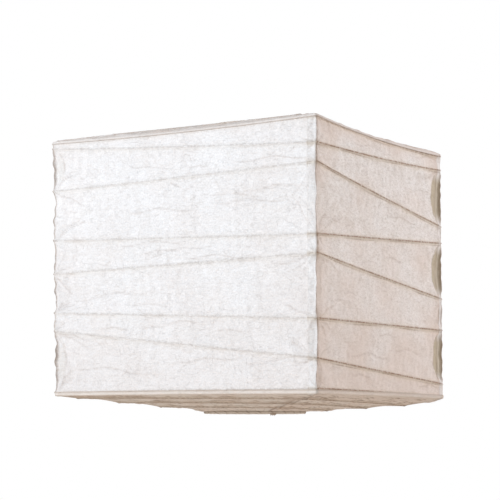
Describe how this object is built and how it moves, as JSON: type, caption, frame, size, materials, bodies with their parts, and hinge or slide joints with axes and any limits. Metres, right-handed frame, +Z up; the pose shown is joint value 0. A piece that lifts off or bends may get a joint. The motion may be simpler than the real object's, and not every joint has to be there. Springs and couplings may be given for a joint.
{
  "type": "square paper lantern shade with wire stretcher",
  "caption": "Cube-shaped hanging paper lantern: white paper sheets over an uneven winding rib wire, a wire ring in the top and bottom, and a wire stretcher with a lampholder ring.",
  "frame": {"origin": "centre of the lampholder ring, on the lantern's vertical axis", "axes": "+Z up along the lampholder ring's bore; the front side of the shade faces -Y and the right side +X"},
  "size_m": [0.35, 0.35, 0.3572],
  "materials": {
    "paper": "thin white fibrous paper, matt, lets light through",
    "binding_paper": "the same paper folded and glued over the ring's wire",
    "rib_wire": "thin drawn steel wire under the paper",
    "ring_wire": "white lacquered steel wire, satin",
    "stretcher_wire": "zinc plated steel wire, satin"
  },
  "bodies": {
    "stretcher": {"lampholder_ring": "stretcher_wire", "stretcher_foot_bar": "stretcher_wire", "stretcher_leg_left": "stretcher_wire", "stretcher_leg_right": "stretcher_wire"},
    "shade": {"bottom_paper_back": "paper", "bottom_paper_front": "paper", "bottom_paper_left": "paper", "bottom_paper_right": "paper", "bottom_rib_1": "rib_wire", "bottom_rib_2": "rib_wire", "bottom_rib_3": "rib_wire", "side_paper_back": "paper", "side_paper_front": "paper", "side_paper_left": "paper", "side_paper_right": "paper", "side_rib_1": "rib_wire", "side_rib_2": "rib_wire", "side_rib_3": "rib_wire", "side_rib_4": "rib_wire", "side_rib_5": "rib_wire", "side_rib_6": "rib_wire", "side_rib_7": "rib_wire", "side_rib_8": "rib_wire", "top_binding": "binding_paper", "top_paper_back": "paper", "top_paper_front": "paper", "top_paper_left": "paper", "top_paper_right": "paper", "top_rib_1": "rib_wire", "top_rib_2": "rib_wire", "top_rib_3": "rib_wire", "top_ring": "ring_wire"},
    "bottom_ring": {"bottom_ring": "ring_wire", "bottom_binding": "binding_paper", "binding_tail": "binding_paper"}
  },
  "joints": [
    {"name": "shade_lift_off", "type": "slide", "parent": "stretcher", "child": "shade", "axis": [0, 0, 1], "range_m": [0, 0.32]},
    {"name": "collapse", "type": "slide", "parent": "shade", "child": "bottom_ring", "axis": [0, 0, 1], "range_m": [0, 0.318], "deforming": ["bottom_paper_back", "bottom_paper_front", "bottom_paper_left", "bottom_paper_right", "bottom_rib_1", "bottom_rib_2", "bottom_rib_3", "side_paper_back", "side_paper_front", "side_paper_left", "side_paper_right", "side_rib_1", "side_rib_2", "side_rib_3", "side_rib_4", "side_rib_5", "side_rib_6", "side_rib_7", "side_rib_8", "top_paper_back", "top_paper_front", "top_paper_left", "top_paper_right", "top_rib_1", "top_rib_2", "top_rib_3"]}
  ]
}
